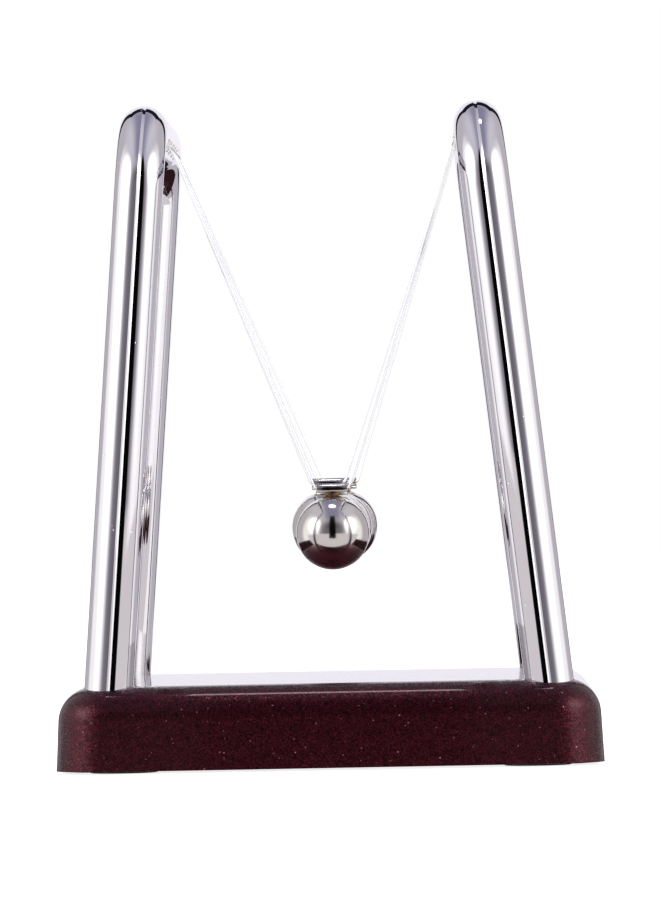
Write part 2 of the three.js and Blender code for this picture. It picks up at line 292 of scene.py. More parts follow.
# Drawn brass tube, nickel plated: soft mirror with faint draw lines along its length
def makeNickelTube():
    drawn = {"line": 0.09, "stretch": 0.05, "lineDepth": 0.002, "haze": 0.8, "rough": (0.08, 0.18)}
    material, tree, place = startMaterial("nickelPlatedTube")
    along = addNode(tree, "ShaderNodeMapping", {"Vector": place, "Scale": (drawn["stretch"], 1.0, 1.0)})
    scratch = addNode(tree, "ShaderNodeTexNoise",
                      {"Vector": along.outputs[0], "Scale": cellScale(drawn["line"]), "Detail": 2.0})
    lines = addNode(tree, "ShaderNodeBump",
                    {"Height": scratch.outputs[0], "Distance": drawn["lineDepth"] * mm, "Strength": 1.0})
    haze = addNode(tree, "ShaderNodeTexNoise",
                   {"Vector": place, "Scale": cellScale(drawn["haze"]), "Detail": 3.0})
    clear, dull = drawn["rough"]
    rough = addNode(tree, "ShaderNodeMapRange",
                    {**noiseSpan, "Value": haze.outputs[0], "To Min": clear, "To Max": dull})
    shader = addNode(tree, "ShaderNodeBsdfPrincipled", {
        "Base Color": hexColour("#cfcac6"), "Metallic": 1.0, "Roughness": rough.outputs[0],
        "Normal": lines.outputs[0],
    })
    endMaterial(tree, shader)
    return material


# Brazed joint: silver solder with straw-coloured heat tint and a lumpy frozen surface
def makeSolder():
    frozen = {"lump": 0.35, "lumpDepth": 0.02, "rough": (0.2, 0.4)}
    material, tree, place = startMaterial("brazedJoint")
    lumps = addNode(tree, "ShaderNodeTexNoise",
                    {"Vector": place, "Scale": cellScale(frozen["lump"]), "Detail": 2.0}).outputs[0]
    heat = addNode(tree, "ShaderNodeMapRange", {**noiseSpan, "Value": lumps})
    tint = addNode(tree, "ShaderNodeMix", {
        0: heat.outputs[0], 6: hexColour("#8c8178"), 7: hexColour("#b98d4e"),
    }, data_type="RGBA")
    clear, dull = frozen["rough"]
    rough = addNode(tree, "ShaderNodeMapRange",
                    {**noiseSpan, "Value": lumps, "To Min": clear, "To Max": dull})
    relief = addNode(tree, "ShaderNodeBump",
                     {"Height": lumps, "Distance": frozen["lumpDepth"] * mm, "Strength": 1.0})
    shader = addNode(tree, "ShaderNodeBsdfPrincipled", {
        "Base Color": tint.outputs[2], "Metallic": 1.0, "Roughness": rough.outputs[0],
        "Normal": relief.outputs[0],
    })
    endMaterial(tree, shader)
    return material


# Clear nylon monofilament: a fine thread that bends the light through it, and is a little cloudier
# in places
def makeClearNylon():
    thread = {"cloud": 1.2, "rough": (0.0, 0.06)}
    material, tree, place = startMaterial("nylonMonofilament")
    cloud = addNode(tree, "ShaderNodeTexNoise",
                    {"Vector": place, "Scale": cellScale(thread["cloud"]), "Detail": 3.0}).outputs[0]
    colour = addNode(tree, "ShaderNodeMix", {
        0: cloud, 6: hexColour("#eff0f3"), 7: hexColour("#f8f8fa"),
    }, data_type="RGBA")
    clear, dull = thread["rough"]
    rough = addNode(tree, "ShaderNodeMapRange",
                    {**noiseSpan, "Value": cloud, "To Min": clear, "To Max": dull})
    shader = addNode(tree, "ShaderNodeBsdfPrincipled", {
        "Base Color": colour.outputs[2], "Roughness": rough.outputs[0], "IOR": 1.53,
        "Transmission Weight": 1.0,
    })
    endMaterial(tree, shader)
    return material


# Natural nylon moulding: milky, softly shining, with a fine grain
def makePlugNylon():
    moulded = {"grain": 0.12, "grainDepth": 0.004, "cloud": 0.9, "rough": (0.35, 0.5), "glow": 0.3}
    material, tree, place = startMaterial("naturalNylon")
    grain = addNode(tree, "ShaderNodeTexNoise",
                    {"Vector": place, "Scale": cellScale(moulded["grain"]), "Detail": 2.0}).outputs[0]
    cloud = addNode(tree, "ShaderNodeTexNoise",
                    {"Vector": place, "Scale": cellScale(moulded["cloud"]), "Detail": 3.0})
    colour = addNode(tree, "ShaderNodeMix", {
        0: cloud.outputs[0], 6: hexColour("#dedfdc"), 7: hexColour("#ebebe8"),
    }, data_type="RGBA")
    clear, dull = moulded["rough"]
    rough = addNode(tree, "ShaderNodeMapRange",
                    {**noiseSpan, "Value": grain, "To Min": clear, "To Max": dull})
    relief = addNode(tree, "ShaderNodeBump",
                     {"Height": grain, "Distance": moulded["grainDepth"] * mm, "Strength": 1.0})
    shader = addNode(tree, "ShaderNodeBsdfPrincipled", {
        "Base Color": colour.outputs[2], "Roughness": rough.outputs[0], "IOR": 1.53,
        "Subsurface Weight": 0.15, "Subsurface Scale": moulded["glow"] * mm,
        "Normal": relief.outputs[0],
    })
    endMaterial(tree, shader)
    return material


# Moulded black ABS with a spark-eroded grain, as on the hidden side of a small product
def makeGrainedAbs():
    eroded = {"grain": 0.35, "grainDepth": 0.03, "patch": 6.0, "rough": (0.5, 0.68)}
    material, tree, place = startMaterial("grainedBlackAbs")
    grain = addNode(tree, "ShaderNodeTexNoise",
                    {"Vector": place, "Scale": cellScale(eroded["grain"]), "Detail": 4.0}).outputs[0]
    patch = addNode(tree, "ShaderNodeTexNoise",
                    {"Vector": place, "Scale": cellScale(eroded["patch"]), "Detail": 3.0})
    colour = addNode(tree, "ShaderNodeMix", {
        0: patch.outputs[0], 6: hexColour("#1b1b1e"), 7: hexColour("#242428"),
    }, data_type="RGBA")
    clear, dull = eroded["rough"]
    rough = addNode(tree, "ShaderNodeMapRange",
                    {**noiseSpan, "Value": grain, "To Min": clear, "To Max": dull})
    relief = addNode(tree, "ShaderNodeBump",
                     {"Height": grain, "Distance": eroded["grainDepth"] * mm, "Strength": 1.0})
    shader = addNode(tree, "ShaderNodeBsdfPrincipled", {
        "Base Color": colour.outputs[2], "Roughness": rough.outputs[0], "IOR": 1.54,
        "Normal": relief.outputs[0],
    })
    endMaterial(tree, shader)
    return material


# Cut sponge rubber: dead matt, dark grey, with open pores
def makePadRubber():
    sponge = {"pore": 0.4, "poreRim": (0.1, 0.5), "poreDepth": 0.05}
    material, tree, place = startMaterial("spongeRubber")
    pores = addNode(tree, "ShaderNodeTexVoronoi", {"Vector": place, "Scale": cellScale(sponge["pore"])})
    centre, rim = sponge["poreRim"]
    depth = addNode(tree, "ShaderNodeMapRange", {
        "Value": pores.outputs["Distance"], "From Min": centre, "From Max": rim,
    }).outputs[0]
    # The pores are painted darker towards their middles, where they are deepest: painted shade in the
    # hollows, not a colour of the rubber
    colour = addNode(tree, "ShaderNodeMix", {
        0: depth, 6: hexColour("#121213"), 7: hexColour("#2b2b2d"),
    }, data_type="RGBA")
    relief = addNode(tree, "ShaderNodeBump",
                     {"Height": depth, "Distance": sponge["poreDepth"] * mm, "Strength": 1.0})
    shader = addNode(tree, "ShaderNodeBsdfPrincipled", {
        "Base Color": colour.outputs[2], "Roughness": 0.92, "IOR": 1.52, "Normal": relief.outputs[0],
    })
    endMaterial(tree, shader)
    return material


# Zinc-plated steel screw, turned: bright grey with a slight blue cast and dull patches
def makeZincSteel():
    plated = {"patch": 0.7, "rough": (0.25, 0.45), "grain": 0.1, "grainDepth": 0.003}
    material, tree, place = startMaterial("zincPlatedSteel")
    patches = addNode(tree, "ShaderNodeTexNoise",
                      {"Vector": place, "Scale": cellScale(plated["patch"]), "Detail": 3.0}).outputs[0]
    colour = addNode(tree, "ShaderNodeMix", {
        0: patches, 6: hexColour("#a9adb3"), 7: hexColour("#c6cacf"),
    }, data_type="RGBA")
    clear, dull = plated["rough"]
    rough = addNode(tree, "ShaderNodeMapRange",
                    {**noiseSpan, "Value": patches, "To Min": clear, "To Max": dull})
    grain = addNode(tree, "ShaderNodeTexNoise",
                    {"Vector": place, "Scale": cellScale(plated["grain"]), "Detail": 3.0})
    relief = addNode(tree, "ShaderNodeBump",
                     {"Height": grain.outputs[0], "Distance": plated["grainDepth"] * mm, "Strength": 1.0})
    shader = addNode(tree, "ShaderNodeBsdfPrincipled", {
        "Base Color": colour.outputs[2], "Metallic": 1.0, "Roughness": rough.outputs[0],
        "Normal": relief.outputs[0],
    })
    endMaterial(tree, shader)
    return material


flakeAbs = makeFlakeAbs()
chromePlate = makeChromePlate()
ballSteel = makeBallSteel()
nickelTube = makeNickelTube()
solder = makeSolder()
clearNylon = makeClearNylon()
plugNylon = makePlugNylon()
grainedAbs = makeGrainedAbs()
padRubber = makePadRubber()
zincSteel = makeZincSteel()
print("materials made")


# Camera

shot = {"eye": (14.57, -1291.9, 37.0), "yaw": 0.634, "pitch": 0.173, "roll": 1.1, "lens": 392.9,
        "sensor": 36, "farthest": 50000}


def makeCamera():
    yaw, pitch, roll = (math.radians(shot[name]) for name in ("yaw", "pitch", "roll"))
    ahead = Vector((-math.sin(yaw) * math.cos(pitch), math.cos(yaw) * math.cos(pitch), math.sin(pitch)))
    level = Vector((math.cos(yaw), math.sin(yaw), 0))
    upright = level.cross(ahead)
    across = level * math.cos(roll) - upright * math.sin(roll)
    top = level * math.sin(roll) + upright * math.cos(roll)
    deselectAll()
    bpy.ops.object.camera_add()
    camera = bpy.context.object
    camera.name = "studioCamera"
    turn = Matrix((across, top, -ahead)).transposed().to_4x4()
    camera.matrix_world = Matrix.Translation(Vector(shot["eye"]) * mm) @ turn
    camera.data.lens = shot["lens"]
    camera.data.sensor_width = shot["sensor"]
    camera.data.clip_end = shot["farthest"] * mm
    camera.data.dof.use_dof = False
    bpy.context.scene.camera = camera


makeCamera()


# Measures that several pieces share

railTube = {"diameter": 6.25, "bend": 8.0, "seat": 4.2, "footX": 28.1, "left": 4.5, "right": 6.2}
lineHole = {"drop": 29.0, "clear": 0.3}
ballCount = 5
tubeRadius = railTube["diameter"] / 2 * mm
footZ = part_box("base_shell")[1][2]
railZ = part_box("left_frame")[1][2] - tubeRadius
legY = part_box("left_frame")[1][1] - tubeRadius
pivotZ = frame["joints"][0]["pos_m"][2]


# One frame's side of the middle, its lean, the run of its legs and where its rail lies
def measureSide(name, sign):
    lean = math.radians(railTube[name])
    run = (railZ - footZ) / math.cos(lean)
    footX = railTube["footX"] * mm
    railX = sign * (footX - run * math.sin(lean))
    reach = tubeRadius + lineHole["clear"] * mm
    drop = math.radians(lineHole["drop"])
    pivotX = railX - sign * reach * math.cos(drop)
    place = Matrix.Translation((sign * footX, 0, footZ)) @ Matrix.Rotation(-sign * lean, 4, "Y")
    return {"name": name, "sign": sign, "run": run, "railX": railX, "pivotX": pivotX, "place": place}


leftSide = measureSide("left", -1)
rightSide = measureSide("right", 1)
sides = [leftSide, rightSide]
ballRadius = (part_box("ball_1")[1][2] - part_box("ball_1")[0][2]) / 2


# The V lines, each a fine cord from one rail through the string tube to the other rail

line = {"diameter": 0.3, "corner": 0.8, "cornerX": 2.15, "steps": 8, "roundness": 4,
        "tailSides": 16, "tailRings": 10}


# The corner of the V, rounded: points on an arc from one run to the next
def roundCorner(corner, comingFrom, goingTo):
    back = (comingFrom - corner).normalized()
    ahead = (goingTo - corner).normalized()
    half = back.angle(ahead) / 2
    radius = line["corner"] * mm
    middle = corner + (back + ahead).normalized() * (radius / math.sin(half))
    first = corner + back * (radius / math.tan(half)) - middle
    last = corner + ahead * (radius / math.tan(half)) - middle
    turn = first.rotation_difference(last)
    points = []
    for step in range(line["steps"] + 1):
        part = Quaternion().slerp(turn, step / line["steps"])
        points.append(middle + part @ first)
    return points


def makeLine(number):
    middle = boxCentre(f"string_tube_{number}")
    cornerX = Vector((line["cornerX"] * mm, 0, 0))
    left = Vector((leftSide["pivotX"], middle.y, pivotZ))
    right = Vector((rightSide["pivotX"], middle.y, pivotZ))
    down = roundCorner(middle - cornerX, left, middle)
    up = roundCorner(middle + cornerX, middle, right)
    route = [left, *down, *up, right]
    curve = bpy.data.curves.new(f"line{number}", "CURVE")
    curve.dimensions = "3D"
    curve.bevel_depth = line["diameter"] / 2 * mm
    curve.bevel_resolution = line["roundness"]
    curve.use_fill_caps = True
    spline = curve.splines.new("POLY")
    spline.points.add(len(route) - 1)
    for point, place in zip(spline.points, route):
        point.co = (*place, 1)
    piece = bpy.data.objects.new(f"line{number}", curve)
    bpy.context.scene.collection.objects.link(piece)
    finishPiece(piece, f"nylonLine{number}", f"pendulum_{number}", "clear_nylon", clearNylon,
                f"line_{number}")


for number in range(1, ballCount + 1):
    makeLine(number)
print("lines made")


# Base shell: a drafted block with round edges, hollow below, with a socket for each leg

shell = {"corner": 6.3, "edge": 4.3, "turns": 16, "draft": 2.7, "wall": 2.0, "hold": 0.3, "smooth": 40}
socket = {"room": 0.07, "depth": 14, "sides": 64, "lip": 0.14, "lipTurns": 2, "lipAngle": 50}


def makeLegCutter(side, end):
    deselectAll()
    bpy.ops.mesh.primitive_cylinder_add(vertices=socket["sides"], radius=tubeRadius + socket["room"] * mm,
                                        depth=socket["depth"] * mm, location=(0, end * legY, 0))
    cutter = bpy.context.object
    placeMesh(cutter, side["place"])
    return cutter


def makeBaseShell():
    low, high = (Vector(corner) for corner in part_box("base_shell"))
    size = high - low
    inset = size.z * math.tan(math.radians(shell["draft"]))
    deselectAll()
    bpy.ops.mesh.primitive_cube_add(size=1, location=(low + high) / 2, scale=size)
    piece = bpy.context.object
    placeMesh(piece)
    startEdit()
    pick("FACE", lambda face: face.normal.z > flatFace)
    bpy.ops.transform.resize(value=(1 - 2 * inset / size.x, 1 - 2 * inset / size.y, 1),
                             center_override=(0, 0, high.z))
    pick("EDGE", lambda edge: abs(edge.verts[0].co.z - edge.verts[1].co.z) > size.z / 2)
    bpy.ops.mesh.bevel(offset=shell["corner"] * mm, segments=shell["turns"])
    pick("EDGE", lambda edge: all(vert.co.z > high.z - hair for vert in edge.verts))
    bpy.ops.mesh.bevel(offset=shell["edge"] * mm, segments=shell["turns"])
    pick("FACE", lambda face: face.normal.z > flatFace)
    bpy.ops.mesh.inset(thickness=shell["hold"] * mm)
    pick("FACE", lambda face: face.normal.z < -flatFace)
    bpy.ops.mesh.delete(type="FACE")
    endEdit()
    addModifier(piece, "SOLIDIFY", thickness=shell["wall"] * mm, offset=-1, use_even_offset=True)
    for side in sides:
        for end in (-1, 1):
            cutWith(piece, makeLegCutter(side, end))
    addModifier(piece, "BEVEL", width=socket["lip"] * mm, segments=socket["lipTurns"],
                limit_method="ANGLE", angle_limit=math.radians(socket["lipAngle"]))
    smoothPiece(piece, shell["smooth"])
    addModifier(piece, "WEIGHTED_NORMAL", keep_sharp=True)
    finishPiece(piece, "baseShell", "stand", "base_plastic", flakeAbs, "base_shell")


makeBaseShell()
print("base shell made")


# Bottom cover: a plate with a rounded lower edge, a sunk panel and a pocket for each pad

cover = {"thickness": 1.6, "corner": 4.0, "cornerTurns": 10, "edge": 0.5, "edgeTurns": 4,
         "border": 2.2, "sink": 0.35, "smooth": 30}
pad = {"count": 4, "height": 1.4, "sides": 48, "edge": 0.4, "edgeTurns": 4, "ring": 0.9, "sink": 0.15,
       "pocket": 0.5, "room": 0.3, "smooth": 35}


def makeBottomCover():
    low, high = (Vector(corner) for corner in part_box("bottom_cover"))
    high.z = low.z + cover["thickness"] * mm
    deselectAll()
    bpy.ops.mesh.primitive_cube_add(size=1, location=(low + high) / 2, scale=high - low)
    piece = bpy.context.object
    placeMesh(piece)
    startEdit()
    pick("EDGE", lambda edge: abs(edge.verts[0].co.z - edge.verts[1].co.z) > mm)
    bpy.ops.mesh.bevel(offset=cover["corner"] * mm, segments=cover["cornerTurns"])
    pick("EDGE", lambda edge: all(vert.co.z < low.z + hair for vert in edge.verts))
    bpy.ops.mesh.bevel(offset=cover["edge"] * mm, segments=cover["edgeTurns"])
    pick("FACE", lambda face: face.normal.z < -flatFace)
    bpy.ops.mesh.inset(thickness=cover["border"] * mm)
    bpy.ops.mesh.inset(thickness=cover["sink"] * mm)
    bpy.ops.transform.translate(value=(0, 0, cover["sink"] * mm))
    endEdit()
    for number in range(1, pad["count"] + 1):
        centre = boxCentre(f"foot_pad_{number}")
        radius = (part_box(f"foot_pad_{number}")[1][0] - centre.x) + pad["room"] * mm
        pocket = low.z + pad["pocket"] * mm
        deselectAll()
        bpy.ops.mesh.primitive_cylinder_add(vertices=pad["sides"], radius=radius, depth=2 * pocket,
                                            location=(centre.x, centre.y, 0))
        cutWith(piece, bpy.context.object)
    smoothPiece(piece, cover["smooth"])
    finishPiece(piece, "bottomCover", "stand", "cover_plastic", grainedAbs, "bottom_cover")


# Foot pad: a disc with a soft lower edge and a pressed ring
def makeFootPads():
    centre = boxCentre("foot_pad_1")
    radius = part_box("foot_pad_1")[1][0] - centre.x
    deselectAll()
    bpy.ops.mesh.primitive_cylinder_add(vertices=pad["sides"], radius=radius, depth=pad["height"] * mm,
                                        location=(0, 0, pad["height"] / 2 * mm))
    first = bpy.context.object
    placeMesh(first)
    startEdit()
    pick("EDGE", lambda edge: all(vert.co.z < hair for vert in edge.verts))
    bpy.ops.mesh.bevel(offset=pad["edge"] * mm, segments=pad["edgeTurns"])
    pick("FACE", lambda face: face.normal.z < -flatFace)
    bpy.ops.mesh.inset(thickness=pad["ring"] * mm)
    bpy.ops.mesh.inset(thickness=pad["sink"] * mm)
    bpy.ops.transform.translate(value=(0, 0, pad["sink"] * mm))
    endEdit()
    smoothPiece(first, pad["smooth"])
    for number in range(1, pad["count"] + 1):
        spot = boxCentre(f"foot_pad_{number}")
        piece = copyPiece(first, (spot.x, spot.y, 0))
        finishPiece(piece, f"footPad{number}", "stand", "pad_rubber", padRubber,
                    f"foot_pad_{number}")
    bpy.data.objects.remove(first)


makeBottomCover()
makeFootPads()
print("cover and pads made")


# Frames: a round section with a parting line on both sides, drawn up a leg, over and down again

section = {"sides": 96, "seam": 0.1, "bendSteps": 30, "smooth": 12}


def makeFrame(side):
    bend = railTube["bend"] * mm
    seat = railTube["seat"] * mm
    seam = section["seam"] * mm
    straight = side["run"] - bend + seat
    rail = 2 * (legY - bend)
    deselectAll()
    bpy.ops.mesh.primitive_circle_add(vertices=section["sides"], radius=tubeRadius,
                                      location=(0, -legY, -seat))
    piece = bpy.context.object
    placeMesh(piece)
    startEdit()
    for way in (-1, 1):
        pick("VERT", lambda vert: way * (vert.co.y + legY) > tubeRadius - hair)
        bpy.ops.transform.translate(value=(0, -way * seam, 0))
    bpy.ops.mesh.select_mode(type="EDGE")
    bpy.ops.mesh.select_all(action="SELECT")
    extrude(0, 0, straight)
    bpy.ops.mesh.spin(steps=section["bendSteps"], angle=quarter, axis=(1, 0, 0),
                      center=(0, -legY + bend, side["run"] - bend))
    extrude(0, rail, 0)
    bpy.ops.mesh.spin(steps=section["bendSteps"], angle=quarter, axis=(1, 0, 0),
                      center=(0, legY - bend, side["run"] - bend))
    extrude(0, 0, -straight)
    cleanMesh()
    bpy.ops.mesh.fill_holes(sides=0)
    bpy.ops.mesh.select_all(action="SELECT")
    bpy.ops.mesh.normals_make_consistent(inside=False)
    endEdit()
    placeMesh(piece, side["place"])
    smoothPiece(piece, section["smooth"])
    name = side["name"]
    finishPiece(piece, f"{name}Frame", "stand", "chrome_plate", chromePlate, f"{name}_frame")


for side in sides:
    makeFrame(side)
print("frames made")


# Line plugs: a small flanged bush in each line hole, with the line's end fixed in its mouth

plug = {"flange": 0.8, "sides": 24, "mouth": 0.3, "inner": 2.6, "proud": 0.1, "depth": 0.5,
        "edge": 0.06, "edgeTurns": 2, "smooth": 35}


def makeLinePlug(side, number):
    centre = Vector((side["railX"], boxCentre(f"ball_{number}").y, railZ))
    depth = tubeRadius + plug["proud"] * mm - plug["inner"] * mm
    middle = plug["inner"] * mm + depth / 2
    deselectAll()
    bpy.ops.mesh.primitive_cylinder_add(vertices=plug["sides"], radius=plug["flange"] * mm,
                                        depth=depth, location=(0, 0, middle))
    piece = bpy.context.object
    placeMesh(piece)
    startEdit()
    pick("EDGE", lambda edge: all(vert.co.z > middle for vert in edge.verts))
    bpy.ops.mesh.bevel(offset=plug["edge"] * mm, segments=plug["edgeTurns"])
    pick("FACE", lambda face: face.normal.z > flatFace)
    bpy.ops.mesh.inset(thickness=(plug["flange"] - plug["edge"] - plug["mouth"]) * mm)
    extrude(0, 0, -plug["depth"] * mm)
    endEdit()
    piece.data.materials.append(plugNylon)
    piece.data.materials.append(clearNylon)
    tail = makeLineTail(middle)
    deselectAll()
    tail.select_set(True)
    piece.select_set(True)
    bpy.context.view_layer.objects.active = piece
    bpy.ops.object.join()
    drop = quarter + math.radians(lineHole["drop"])
    placeMesh(piece, Matrix.Translation(centre) @ Matrix.Rotation(-side["sign"] * drop, 4, "Y"))
    smoothPiece(piece, plug["smooth"])
    name = side["name"]
    finishPiece(piece, f"{name}LinePlug{number}", "stand", "plug_nylon", None,
                f"{name}_line_plug_{number}")


# The end of the line, from the plug's mouth to the point that the V turns about
def makeLineTail(start):
    radius = line["diameter"] / 2 * mm
    reach = tubeRadius + lineHole["clear"] * mm
    deselectAll()
    bpy.ops.mesh.primitive_uv_sphere_add(segments=line["tailSides"], ring_count=line["tailRings"],
                                         radius=radius, location=(0, 0, reach))
    piece = bpy.context.object
    placeMesh(piece)
    startEdit()
    pick("FACE", lambda face: face.calc_center_median().z < reach)
    bpy.ops.mesh.delete(type="FACE")
    pick("EDGE", lambda edge: edge.is_boundary)
    extrude(0, 0, start - reach)
    endEdit()
    piece.data.materials.append(plugNylon)
    piece.data.materials.append(clearNylon)
    for face in piece.data.polygons:
        face.material_index = 1
    return piece


for side in sides:
    for number in range(1, ballCount + 1):
        makeLinePlug(side, number)
print("line plugs made")


# Balls: a sphere with a small ground flat on top, where the string tube is brazed on

ball = {"flat": 0.05, "sides": 96, "rings": 64, "smooth": 30}
tube = {"outer": 1.5, "wall": 0.35, "length": 4.1, "sides": 48, "lip": 0.1, "lipTurns": 4,
        "lipAngle": 60, "smooth": 40}
joint = {"base": 0.95, "top": 0.5, "sink": 0.13, "rise": 0.42, "sides": 32, "cuts": 3, "waist": 0.72,
         "stretch": 1.5, "smooth": 50}


def makeBall(number):
    centre = boxCentre(f"ball_{number}")
    ceiling = centre.z + ballRadius - ball["flat"] * mm
    deselectAll()
    bpy.ops.mesh.primitive_uv_sphere_add(segments=ball["sides"], ring_count=ball["rings"],
                                         radius=ballRadius, location=centre)
    piece = bpy.context.object
    placeMesh(piece)
    startEdit()
    pick("VERT", lambda vert: vert.co.z > ceiling)
    bpy.ops.transform.resize(value=(1, 1, 0), center_override=(centre.x, centre.y, ceiling))
    endEdit()
    smoothPiece(piece, ball["smooth"])
    finishPiece(piece, f"steelBall{number}", f"pendulum_{number}", "ball_steel", ballSteel,
                f"ball_{number}")


# The open tube that the line runs through, with rolled lips
def makeStringTube(number):
    centre = boxCentre(f"string_tube_{number}")
    deselectAll()
    bpy.ops.mesh.primitive_cylinder_add(vertices=tube["sides"], radius=tube["outer"] / 2 * mm,
                                        depth=tube["length"] * mm, end_fill_type="NOTHING",
                                        location=centre, rotation=(0, quarter, 0))
    piece = bpy.context.object
    placeMesh(piece)
    addModifier(piece, "SOLIDIFY", thickness=tube["wall"] * mm, offset=-1)
    addModifier(piece, "BEVEL", width=tube["lip"] * mm, segments=tube["lipTurns"],
                limit_method="ANGLE", angle_limit=math.radians(tube["lipAngle"]))
    smoothPiece(piece, tube["smooth"])
    finishPiece(piece, f"stringTube{number}", f"pendulum_{number}", "tube_steel", nickelTube,
                f"string_tube_{number}")


# The brazed joint: a waisted foot that flows from the ball's flat up to the tube
def makeJoint(number):
    centre = boxCentre(f"ball_{number}")
    crown = centre.z + ballRadius
    depth = (joint["sink"] + joint["rise"]) * mm
    middle = Vector((centre.x, centre.y, crown - joint["sink"] * mm + depth / 2))
    deselectAll()
    bpy.ops.mesh.primitive_cone_add(vertices=joint["sides"], radius1=joint["base"] * mm,
                                    radius2=joint["top"] * mm, depth=depth, location=middle)
    piece = bpy.context.object
    placeMesh(piece)
    startEdit()
    pick("EDGE", lambda edge: abs(edge.verts[0].co.z - edge.verts[1].co.z) > depth / 2)
    bpy.ops.mesh.subdivide(number_cuts=joint["cuts"])
    pick("VERT", lambda vert: abs(vert.co.z - middle.z) < depth / 3)
    bpy.ops.transform.resize(value=(joint["waist"], joint["waist"], 1), center_override=middle)
    bpy.ops.mesh.select_all(action="SELECT")
    bpy.ops.transform.resize(value=(joint["stretch"], 1, 1), center_override=middle)
    endEdit()
    smoothPiece(piece, joint["smooth"])
    finishPiece(piece, f"brazedJoint{number}", f"pendulum_{number}", "tube_steel", solder)


for number in range(1, ballCount + 1):
    makeBall(number)
    makeStringTube(number)
    makeJoint(number)
print("balls made")

# The leg screws are carried over from the CAD, and only take their finish here
screwCount = 4
for number in range(1, screwCount + 1):
    screw = frame["nodes"][f"leg_screw_{number}"]
    screw.data.materials.clear()
    screw.data.materials.append(zincSteel)
print("screws finished")


# Studio: a white floor, pale surroundings, two lit cloths, a strip above, a card behind with a dark
# sheet around it, a dark slit in front, and a dark board and a light foreground under the floor.
# The pairs called sides, top, front, dark, aside and ceiling say where a soft edge starts and
# where it ends, as shares of the sheet or of the way looked in

studio = {
    "panels": {"size": (900, 660), "away": 430, "sunk": 90, "left": -74, "right": 72,
               "sides": (0.06, 0.34), "top": (1.0, 0.42),
               "power": 1.1, "spot": 3.2, "spotInward": 110, "spotHeight": 250, "spotRadius": 290},
    "strip": {"size": (150, 80), "height": 740, "back": 30, "power": 12},
    "card": {"size": (250, 260), "angle": 180, "away": 300, "power": 0.98},
    "surround": {"size": (390, 400), "angle": 180, "away": 312, "power": 1.0},
    "slit": {"size": (46, 200), "angle": 0, "away": 120, "sides": (0.0, 0.2), "top": (1.0, 0.7)},
    "board": {"size": (220, 200), "middle": 60, "power": 1.0},
    "foreground": {"size": (900, 900), "middle": -490.5, "power": 0.8},
    "boardHeight": -0.5,
    "floor": {"size": 6000, "cloud": 40.0},
    "world": {"front": (-0.6, -0.99), "dark": (0.1, 0.55), "aside": (0.12, 0.6),
              "ceiling": (0.45, 0.85)},
}


# A plain emitter
def makeGlow(name, colour, power):
    material, tree, _ = startMaterial(name)
    shader = addNode(tree, "ShaderNodeEmission", {"Color": hexColour(colour), "Strength": power})
    endMaterial(tree, shader)
    return material


# Ends the material of an emitter on a sheet that lets the room through at its two sides and its top
def endSoftGlow(tree, sheet, piece, glow):
    axes = addNode(tree, "ShaderNodeSeparateXYZ", {"Vector": sheet})
    fold = addNode(tree, "ShaderNodeMath", {0: axes.outputs["X"], 1: 0.5}, operation="PINGPONG")
    solid = []
    for value, (start, end) in ((fold.outputs[0], piece["sides"]), (axes.outputs["Y"], piece["top"])):
        inputs = {"Value": value, "From Min": start, "From Max": end}
        solid.append(addNode(tree, "ShaderNodeMapRange", inputs, interpolation_type="SMOOTHERSTEP"))
    cover = addNode(tree, "ShaderNodeMath",
                    {0: solid[0].outputs[0], 1: solid[1].outputs[0]}, operation="MULTIPLY")
    clear = addNode(tree, "ShaderNodeBsdfTransparent")
    shader = addNode(tree, "ShaderNodeMixShader",
                     {0: cover.outputs[0], 1: clear.outputs[0], 2: glow.outputs[0]})
    endMaterial(tree, shader)


# Cloth with a lamp behind it, whose glow is round and brightest on the side near the camera
def makeClothGlow(name, sign):
    panels = studio["panels"]
    width, height = panels["size"]
    lamp = (0.5 + sign * panels["spotInward"] / width,
            (panels["spotHeight"] + panels["sunk"]) / height, 0)
    material, tree, place = startMaterial(name)
    sheet = place.node.outputs["UV"]
    offset = addNode(tree, "ShaderNodeVectorMath", {0: sheet, 1: lamp}, operation="SUBTRACT")
    real = addNode(tree, "ShaderNodeVectorMath",
                   {0: offset.outputs[0], 1: (width, height, 0)}, operation="MULTIPLY")
    away = addNode(tree, "ShaderNodeVectorMath", {0: real.outputs[0]}, operation="LENGTH")
    strength = addNode(tree, "ShaderNodeMapRange", {
        "Value": away.outputs["Value"], "From Min": panels["spotRadius"], "From Max": 0.0,
        "To Min": panels["power"], "To Max": panels["power"] + panels["spot"],
    }, interpolation_type="SMOOTHERSTEP")
    glow = addNode(tree, "ShaderNodeEmission",
                   {"Color": hexColour("#fffdfb"), "Strength": strength.outputs[0]})
    endSoftGlow(tree, sheet, panels, glow)
    return material


def makeSlitGlow():
    material, tree, place = startMaterial("blackSlit")
    glow = addNode(tree, "ShaderNodeEmission", {"Color": hexColour("#060606")})
    endSoftGlow(tree, place.node.outputs["UV"], studio["slit"], glow)
    return material


def makeSheet(name, size, place, aim, material):
    deselectAll()
    bpy.ops.mesh.primitive_plane_add(size=1)
    sheet = bpy.context.object
    sheet.name = name
    turn = (Vector(aim) - Vector(place)).to_track_quat("Z", "Y").to_matrix().to_4x4()
    stretch = Matrix.Diagonal((size[0] * mm, size[1] * mm, 1, 1))
    sheet.matrix_world = Matrix.Translation(Vector(place) * mm) @ turn @ stretch
    sheet.data.materials.append(material)
    sheet.visible_camera = False
    sheet.visible_transmission = False
    return sheet


